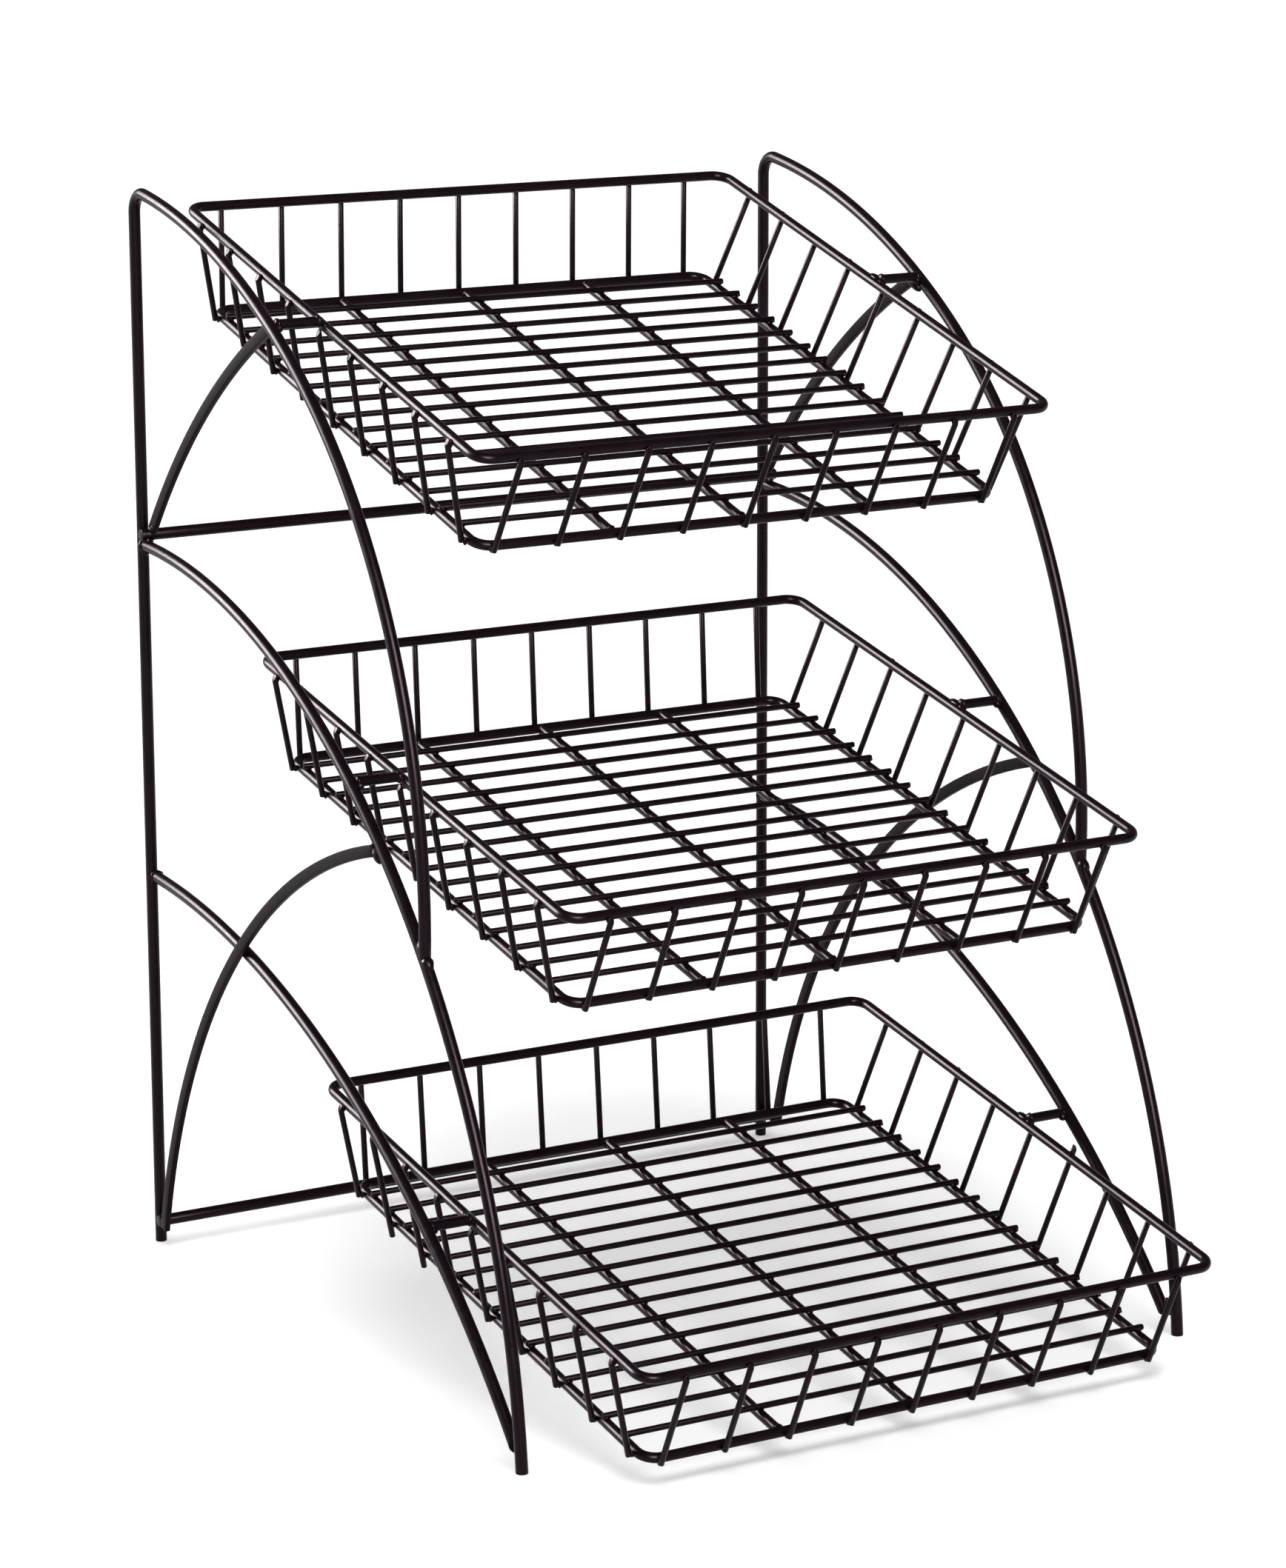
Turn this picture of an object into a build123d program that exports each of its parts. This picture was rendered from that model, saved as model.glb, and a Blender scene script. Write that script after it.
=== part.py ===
from build123d import *
import math
import os

os.makedirs("parts", exist_ok=True)

# Welded wire rack with three shallow baskets between two side frames.
# Millimetres. +Z up, -Y to the front, origin on the floor at the middle of the rack's outline.
# In a side frame, places are (y, z): y from the upright's centre line, back positive, z above the floor.
# In a basket, places are (x, y, z) from the middle of its rim, in the rim's own tipped plane.

# Stock
rod_diameter = 6.0  # side frames and cross rods
hanger_diameter = 5.0
ring_diameter = 5.0  # rims, base rings and floor runners
wire_diameter = 3.0
brace_width = 6.0  # seen from the side
brace_thickness = 3.0
seat_gap = 0.05  # between pieces that touch

# Side frames
frame_spacing = 370.0  # between the two frames' rods, centre to centre
rack_height = 552.6
top_bend_radius = 10.0
top_bend_angle = 98.1
bow_rear_radius = 377.3
bow_rear_angle = 27.5
bow_front_radius = 301.3
leg_radius = 405.0
leg_reach = 392.5  # foot ahead of the upright
low_bow_radius = 536.0
low_bow_root_height = 197.4
low_bow_toe_height = 9.0
low_bow_toe_setback = 7.5  # toe behind the leg's centre line

# Cross rods
upper_cross_height = 377.0
lower_cross_height = 13.0
cross_rod_overhang = 4.0  # past the side frames' centre lines

# Braces
upper_brace_setback = 2.5  # top end behind the top hanger
upper_brace_bulge = 11.5
upper_brace_inset = 2.0  # inboard of the frame's centre plane
lower_brace_reach = 261.6  # top end ahead of the upright
lower_brace_bulge = 51.0
lower_brace_outset = 3.0  # outboard of the frame's centre plane

# Hangers, from the side frames to the baskets
top_hanger_reach = 154.6  # ahead of the upright
middle_hanger_reach = 232.1
bottom_hanger_reach = 297.6
hanger_lift = 2.0  # above the centre line of the rod that carries it
bottom_hanger_lift = 0.0
hanger_rise = 2.0  # above the rim's plane
hanger_setback = 3.0  # behind the rim's middle

# Baskets
top_tilt = 15.9
middle_tilt = 12.1
bottom_tilt = 10.5
rim_width = 315.0  # rings are measured between centre lines
rim_depth = 317.5
rim_corner_radius = 8.5
base_width = 286.7
base_depth = 289.7
base_corner_radius = 8.5
base_drop = 51.1  # base ring below the rim
runner_count = 3
floor_wire_count = 15
wall_wire_count = 9
wall_wire_pitch = 34.0
wall_wire_top_reach = 0.8  # past the seat on the rim
wall_wire_bottom_reach = 0.4  # past the seat on the base ring

# Radii and seats that follow from the stock
rod_radius = rod_diameter / 2
hanger_radius = hanger_diameter / 2
ring_radius = ring_diameter / 2
wire_radius = wire_diameter / 2
rod_seat = rod_radius + seat_gap
wire_seat = ring_radius + wire_radius + seat_gap


def circles_meet(first, first_radius, second, second_radius):
    """Where two circles cross, on the left of the way from the first centre to the second."""
    across = (second[0] - first[0], second[1] - first[1])
    distance = math.hypot(*across)
    ahead = (distance**2 + first_radius**2 - second_radius**2) / (2 * distance)
    aside = math.sqrt(first_radius**2 - ahead**2)
    unit = (across[0] / distance, across[1] / distance)
    return (
        first[0] + unit[0] * ahead - unit[1] * aside,
        first[1] + unit[1] * ahead + unit[0] * aside,
    )


def on_circle(center, radius, angle):
    """The point of a circle at an angle in degrees from the back."""
    turn = math.radians(angle)
    return (center[0] + radius * math.cos(turn), center[1] + radius * math.sin(turn))


def angle_of(center, point):
    """The angle of a point seen from a centre, in degrees from the back."""
    return math.degrees(math.atan2(point[1] - center[1], point[0] - center[0]))


def height_on(center, radius, y):
    """Height of a circle's upper half at y."""
    return center[1] + math.sqrt(radius**2 - (y - center[0]) ** 2)


def bulged_center(first, second, bulge):
    """Centre and radius of the arc between two points that stands off its chord by the bulge."""
    half = math.dist(first, second) / 2
    radius = (half**2 + bulge**2) / (2 * bulge)
    return circles_meet(second, radius, first, radius), radius


# Cross rods stand against the front of the uprights
cross_y = -rod_diameter - seat_gap
upper_cross = (cross_y, upper_cross_height)
lower_cross = (cross_y, lower_cross_height)

# Front leg: through its foot, and just under the upper cross rod
foot = (-leg_reach, 0)
leg_center = circles_meet(upper_cross, leg_radius + rod_diameter + seat_gap, foot, leg_radius)
leg_root = (0, height_on(leg_center, leg_radius, 0))

# Top bow: a small bend on the upright, then two arcs down to the leg
bend_center = (-top_bend_radius, rack_height - rod_radius - top_bend_radius)
bow_rear_center = on_circle(bend_center, top_bend_radius - bow_rear_radius, top_bend_angle)
bow_front_start = top_bend_angle + bow_rear_angle
bow_front_center = on_circle(bow_rear_center, bow_rear_radius - bow_front_radius, bow_front_start)
bow_end = circles_meet(leg_center, leg_radius, bow_front_center, bow_front_radius)

# Low bow: from the upright to just behind the foot of the leg
low_bow_root = (0, low_bow_root_height)
toe_depth = math.sqrt(leg_radius**2 - (low_bow_toe_height - leg_center[1]) ** 2)
low_bow_toe = (leg_center[0] - toe_depth + low_bow_toe_setback, low_bow_toe_height)
low_bow_center = circles_meet(low_bow_root, low_bow_radius, low_bow_toe, low_bow_radius)

# Side planes, as distances from the rack's middle
frame_x = frame_spacing / 2
upper_brace_x = frame_x - upper_brace_inset
lower_brace_x = frame_x + lower_brace_outset
low_bow_x = lower_brace_x - brace_thickness / 2 - rod_seat

# Braces: centre lines from rod to rod
upper_brace_y = upper_brace_setback - top_hanger_reach
upper_brace_top = (upper_brace_y, height_on(bow_rear_center, bow_rear_radius, upper_brace_y))
upper_brace_center, upper_brace_radius = bulged_center(upper_brace_top, upper_cross, upper_brace_bulge)
lower_brace_top = (-lower_brace_reach, height_on(leg_center, leg_radius, -lower_brace_reach))
lower_brace_foot = (cross_y - rod_seat - brace_width / 2, lower_cross_height - rod_radius)
lower_brace_center, lower_brace_radius = bulged_center(lower_brace_top, lower_brace_foot, lower_brace_bulge)


def hanger_place(reach, center, radius, lift):
    """Side-frame place of hangers on a rod bent to an arc."""
    return (-reach, height_on(center, radius, -reach) + lift)


# Tiers: place of the hangers, the side plane of the rod that carries them, and the tilt
top_hanger = hanger_place(top_hanger_reach, bow_rear_center, bow_rear_radius, hanger_lift)
middle_hanger = hanger_place(middle_hanger_reach, leg_center, leg_radius, hanger_lift)
bottom_hanger = hanger_place(bottom_hanger_reach, low_bow_center, low_bow_radius, bottom_hanger_lift)
tiers = {
    "top": (top_hanger, frame_x, top_tilt),
    "middle": (middle_hanger, frame_x, middle_tilt),
    "bottom": (bottom_hanger, low_bow_x, bottom_tilt),
}


def tipped(y, z, tilt):
    """A basket's own (y, z) turned to the side frame's directions, front down."""
    turn = math.radians(tilt)
    return (y * math.cos(turn) - z * math.sin(turn), y * math.sin(turn) + z * math.cos(turn))


def rim_middle(tier):
    """Side-frame place of the middle of a tier's rim."""
    (y, z), _, tilt = tiers[tier]
    back, up = tipped(hanger_setback, hanger_rise, tilt)
    return (y - back, z - up)


# Wall wires: seats on both rings, and the reach past them
side_lean = (rim_width - base_width) / 2
end_lean = (rim_depth - base_depth) / 2
side_slope = math.atan2(side_lean, base_drop)
end_slope = math.atan2(end_lean, base_drop)
wire_top_out = (
    rim_depth / 2
    + (wire_seat + wire_radius) * math.cos(end_slope)
    + wall_wire_top_reach * math.sin(end_slope)
)
wire_top_up = wall_wire_top_reach * math.cos(end_slope) - (wire_seat + wire_radius) * math.sin(end_slope)

# The outline front to back, which puts the origin in its middle
front_ends = []
back_ends = [rod_radius]
for tier, (_, _, tilt) in tiers.items():
    front_ends.append(rim_middle(tier)[0] + tipped(-wire_top_out, wire_top_up, tilt)[0])
    back_ends.append(rim_middle(tier)[0] + tipped(wire_top_out, wire_top_up, tilt)[0])
upright_y = -(min(front_ends) + max(back_ends)) / 2


def side_plane(x):
    """A plane facing +X, whose own (x, y) are a side frame's (y, z)."""
    return Plane(origin=(x, upright_y, 0), x_dir=(0, 1, 0), z_dir=(1, 0, 0))


def across(path):
    """The plane square to a path at its start."""
    return Plane(origin=path.line @ 0, z_dir=path.line % 0)


def save(piece, name):
    """Names a finished piece and writes it."""
    piece.part.label = name
    export_step(piece.part, f"parts/{name}.step")


upright_front = Plane.XZ.offset(rod_seat - upright_y)
floor = Plane.XY


def make_upright(x, name):
    """Upright and top bow in one rod, its front end seated on the leg."""
    leg_angle = angle_of(leg_center, bow_end)
    seat_turn = math.degrees(rod_diameter * 2 / leg_radius)
    front_turn = angle_of(bow_front_center, bow_end) % 360 - bow_front_start
    with BuildPart() as rod:
        with BuildLine(side_plane(x)) as path:
            Line((0, 0), (0, bend_center[1]))
            CenterArc(bend_center, top_bend_radius, 0, top_bend_angle)
            CenterArc(bow_rear_center, bow_rear_radius, top_bend_angle, bow_rear_angle)
            CenterArc(bow_front_center, bow_front_radius, bow_front_start, front_turn)
        with BuildSketch(across(path)):
            Circle(rod_radius)
        sweep(path=path.line)
        with BuildLine(side_plane(x)) as seat:
            CenterArc(leg_center, leg_radius, leg_angle - seat_turn, seat_turn * 2)
        with BuildSketch(across(seat)):
            Circle(rod_seat)
        sweep(path=seat.line, mode=Mode.SUBTRACT)
    save(rod, name)


def make_leg(x, name):
    """Front leg, cut square to the upright behind and level on the floor."""
    root_angle = angle_of(leg_center, leg_root)
    foot_angle = angle_of(leg_center, foot) % 360
    overrun = math.degrees(rod_diameter / leg_radius)
    with BuildPart() as rod:
        with BuildLine(side_plane(x)) as path:
            CenterArc(leg_center, leg_radius, root_angle, foot_angle + overrun - root_angle)
        with BuildSketch(across(path)):
            Circle(rod_radius)
        sweep(path=path.line)
        split(bisect_by=upright_front, keep=Keep.TOP)
        split(bisect_by=floor, keep=Keep.TOP)
    save(rod, name)


def make_low_bow(x, name):
    """Low bow, cut to the upright, to the back of the leg and level at its toe."""
    root_angle = angle_of(low_bow_center, low_bow_root)
    toe_angle = angle_of(low_bow_center, low_bow_toe)
    overrun = math.degrees(rod_diameter / low_bow_radius)
    with BuildPart() as rod:
        with BuildLine(side_plane(x)) as path:
            CenterArc(low_bow_center, low_bow_radius, root_angle, toe_angle + overrun - root_angle)
        with BuildSketch(across(path)):
            Circle(rod_radius)
        sweep(path=path.line)
        split(bisect_by=upright_front, keep=Keep.TOP)
        split(bisect_by=floor.offset(low_bow_toe_height), keep=Keep.TOP)
        with BuildSketch(side_plane(x - rod_radius)):
            with Locations(leg_center):
                Circle(leg_radius - rod_seat)
        extrude(amount=rod_diameter, mode=Mode.INTERSECT)
    save(rod, name)


def make_brace(x, center, radius, top, bottom, under, cross, name):
    """Bowed flat bar on edge, trimmed under the rod above and on the cross rod."""
    start = angle_of(center, bottom)
    turn = angle_of(center, top) - start
    under_center, under_radius = under
    with BuildPart() as bar:
        with BuildSketch(side_plane(x - brace_thickness / 2)):
            with BuildLine():
                outer = CenterArc(center, radius + brace_width / 2, start, turn)
                inner = CenterArc(center, radius - brace_width / 2, start, turn)
                Line(outer @ 0, inner @ 0)
                Line(outer @ 1, inner @ 1)
            make_face()
            with Locations(under_center):
                Circle(under_radius - rod_seat, mode=Mode.INTERSECT)
            with Locations(cross):
                Circle(rod_seat, mode=Mode.SUBTRACT)
        extrude(amount=brace_thickness)
        split(bisect_by=upright_front, keep=Keep.TOP)
    save(bar, name)


for side, word in ((-1, "left"), (1, "right")):
    make_upright(side * frame_x, f"{word}_upright_and_bow")
    make_leg(side * frame_x, f"{word}_front_leg")
    make_low_bow(side * low_bow_x, f"{word}_low_bow")
    make_brace(
        side * upper_brace_x,
        upper_brace_center,
        upper_brace_radius,
        upper_brace_top,
        upper_cross,
        (bow_rear_center, bow_rear_radius),
        upper_cross,
        f"{word}_upper_brace",
    )
    make_brace(
        side * lower_brace_x,
        lower_brace_center,
        lower_brace_radius,
        lower_brace_top,
        lower_brace_foot,
        (leg_center, leg_radius),
        lower_cross,
        f"{word}_lower_brace",
    )

# Cross rods behind the baskets
cross_rod_start = -frame_x - cross_rod_overhang
for word, cross in (("upper", upper_cross), ("lower", lower_cross)):
    with BuildPart() as cross_rod:
        with BuildSketch(side_plane(cross_rod_start)):
            with Locations(cross):
                Circle(rod_radius)
        extrude(amount=-2 * cross_rod_start)
    save(cross_rod, f"{word}_cross_rod")

# Hangers from the rods of the side frames to the rims
hanger_start = rim_width / 2 + ring_radius + seat_gap
for tier, (hanger_middle, carrier_x, _) in tiers.items():
    for side, word in ((-1, "left"), (1, "right")):
        with BuildPart() as hanger:
            with BuildSketch(side_plane(side * hanger_start)):
                with Locations(hanger_middle):
                    Circle(hanger_radius)
            extrude(amount=side * (carrier_x - rod_seat - hanger_start))
        save(hanger, f"{tier}_{word}_hanger")


def in_basket(basket, origin, x_dir, z_dir):
    """A plane given in a basket's own places and directions."""
    return Plane(basket.location * Plane(origin=origin, x_dir=x_dir, z_dir=z_dir).location)


def make_ring(basket, width, depth, corner_radius, drop, name):
    """Closed ring of round rod with rounded corners."""
    x = width / 2
    y = depth / 2
    with BuildPart() as ring:
        with BuildLine(basket.offset(-drop)) as path:
            FilletPolyline((-x, -y), (x, -y), (x, y), (-x, y), radius=corner_radius, close=True)
        with BuildSketch(across(path)):
            Circle(ring_radius)
        sweep(path=path.line)
    save(ring, name)


def make_runners(basket, name):
    """Rods front to back between the sides of the base ring."""
    length = base_depth - 2 * (ring_radius + seat_gap)
    with BuildPart() as runners:
        with BuildSketch(in_basket(basket, (0, -length / 2, -base_drop), (1, 0, 0), (0, 1, 0))):
            with GridLocations(base_width / (runner_count + 1), ring_diameter, runner_count, 1):
                Circle(ring_radius)
        extrude(amount=length)
    save(runners, name)


def make_floor_wires(basket, name):
    """Thin wires side to side, on top of the base ring and the runners."""
    length = base_width + ring_diameter
    start = (-length / 2, 0, wire_seat - base_drop)
    with BuildPart() as wires:
        with BuildSketch(in_basket(basket, start, (0, 1, 0), (1, 0, 0))):
            with GridLocations(base_depth / (floor_wire_count + 1), wire_diameter, floor_wire_count, 1):
                Circle(wire_radius)
        extrude(amount=length)
    save(wires, name)


def make_wall_wires(basket, out, rim_half, base_half, slope, name):
    """Thin parallel wires of one wall, seated on the outside of both rings."""
    seat_out = wire_seat * math.cos(slope) - wall_wire_bottom_reach * math.sin(slope)
    seat_up = -wire_seat * math.sin(slope) - wall_wire_bottom_reach * math.cos(slope)
    start = (out[0] * (base_half + seat_out), out[1] * (base_half + seat_out), seat_up - base_drop)
    rising = (out[0] * math.sin(slope), out[1] * math.sin(slope), math.cos(slope))
    along = (abs(out[1]), abs(out[0]), 0)
    length = math.hypot(rim_half - base_half, base_drop) + wall_wire_bottom_reach + wall_wire_top_reach
    under_hanger = hanger_rise - hanger_radius - seat_gap - wire_radius * math.sin(slope)
    short_length = (under_hanger - start[2]) / math.cos(slope)
    places = [(number - (wall_wire_count - 1) / 2) * wall_wire_pitch for number in range(wall_wire_count)]
    met = [place for place in places if out[0] and abs(place - hanger_setback) < hanger_radius + wire_radius]
    with BuildPart() as wires:
        for place in places:
            with BuildSketch(in_basket(basket, start, along, rising)):
                with Locations((place, 0)):
                    Circle(wire_radius)
            extrude(amount=short_length if place in met else length)
    save(wires, name)


for tier, (_, _, tilt) in tiers.items():
    y, z = rim_middle(tier)
    lean = math.radians(tilt)
    rim_plane = Plane(
        origin=(0, upright_y + y, z), x_dir=(1, 0, 0), z_dir=(0, -math.sin(lean), math.cos(lean))
    )
    make_ring(rim_plane, rim_width, rim_depth, rim_corner_radius, 0, f"{tier}_rim")
    make_ring(rim_plane, base_width, base_depth, base_corner_radius, base_drop, f"{tier}_base_ring")
    make_runners(rim_plane, f"{tier}_floor_runners")
    make_floor_wires(rim_plane, f"{tier}_floor_wires")
    for word, out in (("left", (-1, 0)), ("right", (1, 0))):
        name = f"{tier}_{word}_wall_wires"
        make_wall_wires(rim_plane, out, rim_width / 2, base_width / 2, side_slope, name)
    for word, out in (("front", (0, -1)), ("rear", (0, 1))):
        name = f"{tier}_{word}_wall_wires"
        make_wall_wires(rim_plane, out, rim_depth / 2, base_depth / 2, end_slope, name)
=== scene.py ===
import math
import random

import bmesh
import bpy
from bpy.props import FloatProperty, FloatVectorProperty, IntProperty, PointerProperty
from mathutils import Matrix, Vector


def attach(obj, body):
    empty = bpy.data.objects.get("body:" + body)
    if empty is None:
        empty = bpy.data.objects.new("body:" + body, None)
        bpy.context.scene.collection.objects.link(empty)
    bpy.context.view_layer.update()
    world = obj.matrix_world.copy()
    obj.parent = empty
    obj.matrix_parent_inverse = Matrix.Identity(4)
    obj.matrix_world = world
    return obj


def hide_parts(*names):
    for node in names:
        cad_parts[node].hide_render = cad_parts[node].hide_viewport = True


bl_info = {
    "name": "Tiered wire rack",
    "version": (1, 0, 0),
    "blender": (4, 5, 0),
    "location": "3D View > Sidebar > Wire rack",
    "description": "Welded counter rack of coated rod with three hanging wire baskets",
    "category": "Add Mesh",
}

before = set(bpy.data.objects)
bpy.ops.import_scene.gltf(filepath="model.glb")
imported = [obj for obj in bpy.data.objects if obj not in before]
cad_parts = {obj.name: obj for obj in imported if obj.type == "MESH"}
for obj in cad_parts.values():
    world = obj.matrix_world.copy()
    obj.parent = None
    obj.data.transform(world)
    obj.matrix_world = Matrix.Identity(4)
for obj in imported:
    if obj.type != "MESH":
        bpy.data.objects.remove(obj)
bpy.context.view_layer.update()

TIERS = ("top", "middle", "bottom")
SIDES = (("left", -1), ("right", 1))
ACROSS = Vector((1, 0, 0))  # the direction that side frames are seen along


def length(name, description, default):
    """A length property in metres."""
    return FloatProperty(name=name, description=description, default=default, unit="LENGTH", precision=5)


def angle(name, description, default):
    """An angle property, given in degrees."""
    return FloatProperty(name=name, description=description, default=math.radians(default), unit="ROTATION")


def colour(name, description, default):
    """A colour property."""
    return FloatVectorProperty(name=name, description=description, default=default, subtype="COLOR", size=3, min=0, max=1)


class RackStock(bpy.types.PropertyGroup):
    """Rod, wire and flat bar that the rack is made of"""

    rod: length("Rod", "Diameter of the side frames' and cross rods' rod", 0.006)
    hanger: length("Hanger", "Diameter of the hangers", 0.005)
    ring: length("Ring rod", "Diameter of the rims, base rings and floor runners", 0.005)
    wire: length("Wire", "Diameter of the wall and floor wires", 0.003)
    brace_width: length("Brace width", "Width of the flat braces seen from the side", 0.006)
    brace_thickness: length("Brace thickness", "Thickness of the flat braces", 0.003)
    seat: length("Seat", "Space between pieces that touch", 0.00005)
    cut: length("Cut edge", "Rounding of the rods' cut ends", 0.0004)
    wire_cut: length("Wire end", "Rounding of the wires' cut ends", 0.0003)
    wire_slant: angle("Wire slant", "Slant of the wall wires' upper ends", 53)


class RackSideFrame(bpy.types.PropertyGroup):
    """Sizes of a side frame. Places are measured forward from the upright and up from the floor"""

    upright_y: length("Upright place", "Upright's centre line behind the rack's middle", 0.229312)
    spacing: length("Spacing", "Between the two side frames, centre to centre", 0.370)
    height: length("Height", "Height of the rack", 0.5526)
    bend_radius: length("Top bend", "Radius of the bend on the upright", 0.010)
    bend_angle: angle("Top bend angle", "Angle of the bend on the upright", 98.1)
    rear_radius: length("Rear bow", "Radius of the rear part of the top bow", 0.3773)
    rear_angle: angle("Rear bow angle", "Angle of the rear part of the top bow", 27.5)
    front_radius: length("Front bow", "Radius of the front part of the top bow", 0.3013)
    leg_radius: length("Front leg", "Radius of the front leg", 0.405)
    leg_reach: length("Leg reach", "Foot ahead of the upright", 0.3925)
    low_radius: length("Low bow", "Radius of the low bow", 0.536)
    low_root: length("Low bow root", "Height of the low bow on the upright", 0.1974)
    low_toe: length("Low bow toe", "Height of the low bow's toe", 0.009)
    low_setback: length("Toe setback", "Toe behind the leg's centre line", 0.0075)
    toe_slip: length("Left toe slip", "How far the left low bow's mitred toe reaches below the right one", 0.003)
    upper_cross: length("Upper cross rod", "Height of the upper cross rod", 0.377)
    lower_cross: length("Lower cross rod", "Height of the lower cross rod", 0.013)
    overhang: length("Overhang", "Cross rods past the side frames' centre lines", 0.004)
    upper_setback: length("Upper brace top", "Top end behind the top hanger", 0.0025)
    upper_bulge: length("Upper brace bulge", "Height of the upper brace's bow", 0.0115)
    upper_inset: length("Upper brace inset", "Upper brace inboard of the frame", 0.002)
    lower_reach: length("Lower brace reach", "Top end ahead of the upright", 0.2616)
    lower_bulge: length("Lower brace bulge", "Height of the lower brace's bow", 0.051)
    lower_outset: length("Lower brace outset", "Lower brace outboard of the frame", 0.003)


class RackBasket(bpy.types.PropertyGroup):
    """Sizes of a basket, and how the three are hung"""

    top_reach: length("Top hangers", "Top hangers ahead of the upright", 0.1546)
    middle_reach: length("Middle hangers", "Middle hangers ahead of the upright", 0.2321)
    bottom_reach: length("Bottom hangers", "Bottom hangers ahead of the upright", 0.2976)
    hanger_lift: length("Hanger lift", "Top and middle hangers above the rod that carries them", 0.002)
    bottom_lift: length("Bottom hanger lift", "Bottom hangers above the rod that carries them", 0.0)
    hanger_rise: length("Hanger rise", "Hangers above the rim's plane", 0.002)
    hanger_setback: length("Hanger setback", "Hangers behind the rim's middle", 0.003)
    top_tilt: angle("Top tilt", "Tip of the top basket to the front", 15.9)
    middle_tilt: angle("Middle tilt", "Tip of the middle basket to the front", 12.1)
    bottom_tilt: angle("Bottom tilt", "Tip of the bottom basket to the front", 10.5)
    rim_width: length("Rim width", "Side to side between centre lines", 0.315)
    rim_depth: length("Rim depth", "Front to back between centre lines", 0.3175)
    rim_corner: length("Rim corner", "Radius of the rim's corners", 0.0085)
    base_width: length("Base width", "Side to side between centre lines", 0.2867)
    base_depth: length("Base depth", "Front to back between centre lines", 0.2897)
    base_corner: length("Base corner", "Radius of the base ring's corners", 0.0085)
    drop: length("Drop", "Base ring below the rim", 0.0511)
    runners: IntProperty(name="Runners", description="Rods front to back under the floor wires", default=3, min=1)
    floor_wires: IntProperty(name="Floor wires", description="Thin wires side to side", default=15, min=2)
    wall_wires: IntProperty(name="Wall wires", description="Thin wires in each wall", default=9, min=2)
    wall_pitch: length("Wall wire pitch", "Between neighbouring wall wires", 0.034)
    wire_top: length("Wire top", "Wall wires past the seat on the rim", 0.0008)
    wire_bottom: length("Wire bottom", "Wall wires past the seat on the base ring", 0.0004)
    side_rise: length("Side wires' rise", "Side wall wires set higher than the others at the rim", 0.0008)
    rear_drop: length("Rear wires' drop", "Rear wall wires set lower than the others at the rim", 0.0012)
    long_wire: length("Long wires", "Extra length of two left wires under the bottom basket", 0.0058)
    tall_wire: length("Tall wire", "How far one right wire stands above the bottom basket's rim", 0.0038)
    end_slip: length("End wires' slip", "Front and rear wires to the right of their places", -0.0013)
    unevenness: length("Unevenness", "How far hand-set wires stray from their places", 0.0004)


class RackWelds(bpy.types.PropertyGroup):
    """Sizes of the weld beads"""

    spot: length("Spot weld", "Half width of the bead where wires cross", 0.0019)
    collar: length("Collar", "Bead past the surface of a rod that ends on another", 0.0011)
    lumps: FloatProperty(name="Lumps", description="Height of a bead's lumps as a part of its size", default=0.30, subtype="FACTOR")


class RackFinish(bpy.types.PropertyGroup):
    """Colours and gloss of the coats"""

    coat: colour("Coat", "Black lacquer on rods and wires", (0.0040, 0.0014, 0.0028))
    coat_light: colour("Coat, thin places", "Lacquer where it lies thin", (0.0072, 0.0028, 0.0050))
    bar: colour("Bar coat", "Duller lacquer on the flat braces", (0.0105, 0.0062, 0.0085))
    sheen_tint: colour("Sheen tint", "Tint of the lacquer's shine", (1.0, 0.76, 0.90))
    floor: colour("Floor", "Plain white floor", (0.80, 0.80, 0.80))


class RackStudio(bpy.types.PropertyGroup):
    """Place of the camera, and the lamps"""

    stand_back: length("Camera distance", "Camera ahead of the uprights", 2.20079)
    stand_left: length("Camera to the left", "Camera left of the rack's middle", 1.17457)
    stand_up: length("Camera height", "Camera above the floor", 0.79272)
    yaw: angle("Camera yaw", "Turn of the camera to the right", 30.25)
    pitch: angle("Camera pitch", "Tip of the camera to the floor", 12.85)
    roll: angle("Camera roll", "Tilt of the camera to its side", -0.16)
    lens: FloatProperty(name="Lens", description="Focal length on a 36 mm wide sensor", default=133.96)
    overhead_power: FloatProperty(name="Overhead lamp", description="Power of the softbox above the rack", default=66.0, subtype="POWER")
    back_power: FloatProperty(name="Back lamp", description="Power of the softbox behind on the left, seen in the coat", default=900.0, subtype="POWER")
    front_power: FloatProperty(name="Front lamp", description="Power of the softbox in front, seen in the coat", default=350.0, subtype="POWER")


# Places


def on_circle(center, radius, turn):
    """The point of a circle at an angle from the back."""
    return (center[0] + radius * math.cos(turn), center[1] + radius * math.sin(turn))


def angle_of(center, point):
    """The angle of a point seen from a centre, from the back and upward."""
    return math.atan2(point[1] - center[1], point[0] - center[0]) % math.tau


def height_on(center, radius, y):
    """Height of a circle's upper half at y."""
    return center[1] + math.sqrt(radius**2 - (y - center[0]) ** 2)


def circles_meet(first, first_radius, second, second_radius):
    """Where two circles cross, on the left of the way from the first centre to the second."""
    across = (second[0] - first[0], second[1] - first[1])
    distance = math.hypot(*across)
    ahead = (distance**2 + first_radius**2 - second_radius**2) / (2 * distance)
    aside = math.sqrt(first_radius**2 - ahead**2)
    unit = (across[0] / distance, across[1] / distance)
    return (
        first[0] + unit[0] * ahead - unit[1] * aside,
        first[1] + unit[1] * ahead + unit[0] * aside,
    )


def bulged_center(first, second, bulge):
    """Centre and radius of the arc between two points that stands off its chord by the bulge."""
    half = math.dist(first, second) / 2
    radius = (half**2 + bulge**2) / (2 * bulge)
    return circles_meet(second, radius, first, radius), radius


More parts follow.
